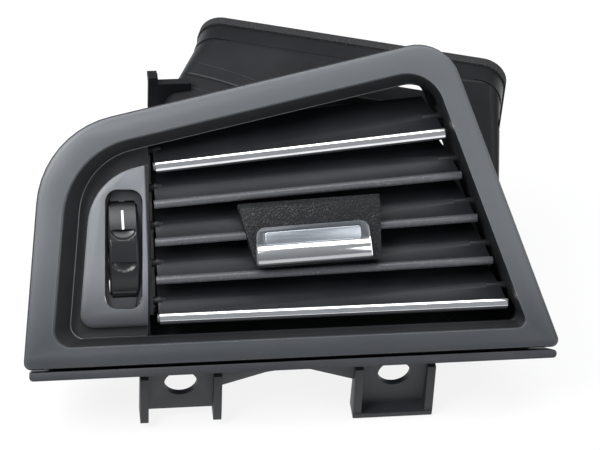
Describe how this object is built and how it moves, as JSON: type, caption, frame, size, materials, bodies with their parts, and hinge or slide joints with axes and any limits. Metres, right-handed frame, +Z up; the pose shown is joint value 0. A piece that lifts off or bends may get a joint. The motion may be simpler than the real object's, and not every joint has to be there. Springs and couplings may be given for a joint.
{
  "type": "dashboard air vent",
  "caption": "Car dashboard side air vent with leaning bezel, fanned slats, sliding chromed knob, thumbwheel, upright vanes and shut-off duct",
  "frame": {"origin": "midway between the two screw-tab holes, on the tabs' front faces", "axes": "+X to the viewer's right along the vent, +Y to the rear into the dashboard, +Z up"},
  "size_m": [0.1911, 0.1423, 0.1137],
  "materials": {
    "graphite_paint": "satin graphite paint, fine texture",
    "dark_plastic": "matt moulded",
    "duct_plastic": "smooth moulded",
    "foam": "open foam",
    "steel": "plated",
    "slat_plastic": "satin moulded",
    "chrome_trim": "polished plating",
    "satin_silver": "satin",
    "grained_black": "leather-grained",
    "vane_plastic": "matt moulded",
    "link_plastic": "matt moulded",
    "wheel_rubber": "soft-touch"
  },
  "bodies": {
    "vent_body": {"bezel": "graphite_paint", "lower_rail": "dark_plastic", "front_housing": "duct_plastic", "rear_duct": "duct_plastic", "mouth_seal": "foam", "left_bearing_strip": "dark_plastic", "right_bearing_strip": "dark_plastic", "vane_frame": "vane_plastic", "wheel_bracket": "dark_plastic", "wheel_axle": "steel", "housing_screws": "steel"},
    "top_slat": {"slat_1": "slat_plastic", "top_trim_strip": "chrome_trim"},
    "second_slat": {"slat_2": "slat_plastic"},
    "middle_slat": {"slat_3": "slat_plastic"},
    "fourth_slat": {"slat_4": "slat_plastic"},
    "bottom_slat": {"slat_5": "slat_plastic", "bottom_trim_strip": "chrome_trim"},
    "slat_link_bar": {"slat_link": "link_plastic"},
    "knob": {"knob_body": "grained_black", "knob_cap": "chrome_trim", "knob_insert": "satin_silver"},
    "vane_link_bar": {"vane_link": "link_plastic"},
    "wheel": {"thumbwheel": "wheel_rubber"},
    "drive_rod": {"drive_link": "link_plastic"},
    "lower_shutoff": {"lower_leaf": "vane_plastic"},
    "upper_shutoff": {"upper_leaf": "vane_plastic"},
    "leaf_link_bar": {"leaf_link": "link_plastic"},
    "vane_body_1": {"vane_1": "vane_plastic"},
    "vane_body_2": {"vane_2": "vane_plastic"},
    "vane_body_3": {"vane_3": "vane_plastic"},
    "vane_body_4": {"vane_4": "vane_plastic"},
    "vane_body_5": {"vane_5": "vane_plastic"},
    "vane_body_6": {"vane_6": "vane_plastic"},
    "vane_body_7": {"vane_7": "vane_plastic"}
  },
  "joints": [
    {"name": "middle_slat_tilt", "type": "hinge", "parent": "vent_body", "child": "middle_slat", "pos_m": [-0.0459, 0.03711, 0.0431], "axis": [0.9993, 0.0259, 0.0288], "range_deg": [-26, 2]},
    {"name": "top_slat_tilt", "type": "hinge", "parent": "vent_body", "child": "top_slat", "pos_m": [-0.0459, 0.05511, 0.06309], "axis": [0.9966, 0.055, 0.0611], "range_deg": [-26, 2]},
    {"name": "second_slat_tilt", "type": "hinge", "parent": "vent_body", "child": "second_slat", "pos_m": [-0.0459, 0.04611, 0.0531], "axis": [0.9982, 0.0398, 0.0442], "range_deg": [-26, 2]},
    {"name": "fourth_slat_tilt", "type": "hinge", "parent": "vent_body", "child": "fourth_slat", "pos_m": [-0.0459, 0.02811, 0.0331], "axis": [0.9998, 0.0132, 0.0147], "range_deg": [-26, 2]},
    {"name": "bottom_slat_tilt", "type": "hinge", "parent": "vent_body", "child": "bottom_slat", "pos_m": [-0.0459, 0.01911, 0.02311], "axis": [1, 0.0016, 0.0018], "range_deg": [-26, 2]},
    {"name": "slat_link_swing", "type": "hinge", "parent": "middle_slat", "child": "slat_link_bar", "pos_m": [-0.04581, 0.04016, 0.03736], "axis": [0.9993, 0.0259, 0.0288], "range_deg": [-2, 26]},
    {"name": "knob_slide", "type": "slide", "parent": "middle_slat", "child": "knob", "axis": [0.9993, 0.0259, 0.0288], "range_m": [-0.006, 0.006]},
    {"name": "vane_1_swing", "type": "hinge", "parent": "vent_body", "child": "vane_body_1", "pos_m": [-0.0366, 0.0535, 0.02977], "axis": [0, 0.6691, 0.7431], "range_deg": [-32.7, 32.7]},
    {"name": "vane_2_swing", "type": "hinge", "parent": "vent_body", "child": "vane_body_2", "pos_m": [-0.0226, 0.0535, 0.02977], "axis": [0, 0.6691, 0.7431], "range_deg": [-32.7, 32.7]},
    {"name": "vane_3_swing", "type": "hinge", "parent": "vent_body", "child": "vane_body_3", "pos_m": [-0.0086, 0.0535, 0.02977], "axis": [0, 0.6691, 0.7431], "range_deg": [-32.7, 32.7]},
    {"name": "vane_4_swing", "type": "hinge", "parent": "vent_body", "child": "vane_body_4", "pos_m": [0.0054, 0.0535, 0.02977], "axis": [0, 0.6691, 0.7431], "range_deg": [-32.7, 32.7]},
    {"name": "vane_5_swing", "type": "hinge", "parent": "vent_body", "child": "vane_body_5", "pos_m": [0.0194, 0.0535, 0.02977], "axis": [0, 0.6691, 0.7431], "range_deg": [-32.7, 32.7]},
    {"name": "vane_6_swing", "type": "hinge", "parent": "vent_body", "child": "vane_body_6", "pos_m": [0.0334, 0.0535, 0.02977], "axis": [0, 0.6691, 0.7431], "range_deg": [-32.7, 32.7]},
    {"name": "vane_7_swing", "type": "hinge", "parent": "vent_body", "child": "vane_body_7", "pos_m": [0.0474, 0.0535, 0.02977], "axis": [0, 0.6691, 0.7431], "range_deg": [-32.7, 32.7]},
    {"name": "vane_link_swing", "type": "hinge", "parent": "vane_body_4", "child": "vane_link_bar", "pos_m": [0.0054, 0.07067, 0.03987], "axis": [0, 0.6691, 0.7431], "range_deg": [-32.7, 32.7]},
    {"name": "wheel_turn", "type": "hinge", "parent": "vent_body", "child": "wheel", "pos_m": [-0.0575, 0.04607, 0.02407], "axis": [1, 0, 0], "range_deg": [0, 75]},
    {"name": "drive_rod_swing", "type": "hinge", "parent": "wheel", "child": "drive_rod", "pos_m": [-0.0575, 0.04059, 0.01693], "axis": [1, 0, 0], "range_deg": [-75, 0]},
    {"name": "lower_shutoff_turn", "type": "hinge", "parent": "vent_body", "child": "lower_shutoff", "pos_m": [-0.02676, 0.11668, 0.0225], "axis": [0.9548, -0.2974, 0], "range_deg": [0, 75]},
    {"name": "upper_shutoff_turn", "type": "hinge", "parent": "vent_body", "child": "upper_shutoff", "pos_m": [-0.02676, 0.11668, 0.0475], "axis": [0.9548, -0.2974, 0], "range_deg": [0, 75]},
    {"name": "leaf_link_swing", "type": "hinge", "parent": "lower_shutoff", "child": "leaf_link_bar", "pos_m": [-0.01747, 0.1196, 0.01824], "axis": [0.9548, -0.2974, 0], "range_deg": [-75, 0]}
  ],
  "couplings": [
    {"joint": "top_slat_tilt", "follows": "middle_slat_tilt", "ratio": 1},
    {"joint": "second_slat_tilt", "follows": "middle_slat_tilt", "ratio": 1},
    {"joint": "fourth_slat_tilt", "follows": "middle_slat_tilt", "ratio": 1},
    {"joint": "bottom_slat_tilt", "follows": "middle_slat_tilt", "ratio": 1},
    {"joint": "slat_link_swing", "follows": "middle_slat_tilt", "ratio": -1},
    {"joint": "vane_1_swing", "follows": "knob_slide", "rad_per_m": 95},
    {"joint": "vane_2_swing", "follows": "knob_slide", "rad_per_m": 95},
    {"joint": "vane_3_swing", "follows": "knob_slide", "rad_per_m": 95},
    {"joint": "vane_4_swing", "follows": "knob_slide", "rad_per_m": 95},
    {"joint": "vane_5_swing", "follows": "knob_slide", "rad_per_m": 95},
    {"joint": "vane_6_swing", "follows": "knob_slide", "rad_per_m": 95},
    {"joint": "vane_7_swing", "follows": "knob_slide", "rad_per_m": 95},
    {"joint": "vane_link_swing", "follows": "knob_slide", "rad_per_m": -95},
    {"joint": "drive_rod_swing", "follows": "wheel_turn", "ratio": -1},
    {"joint": "lower_shutoff_turn", "follows": "wheel_turn", "ratio": 1},
    {"joint": "upper_shutoff_turn", "follows": "wheel_turn", "ratio": 1},
    {"joint": "leaf_link_swing", "follows": "wheel_turn", "ratio": -1}
  ]
}
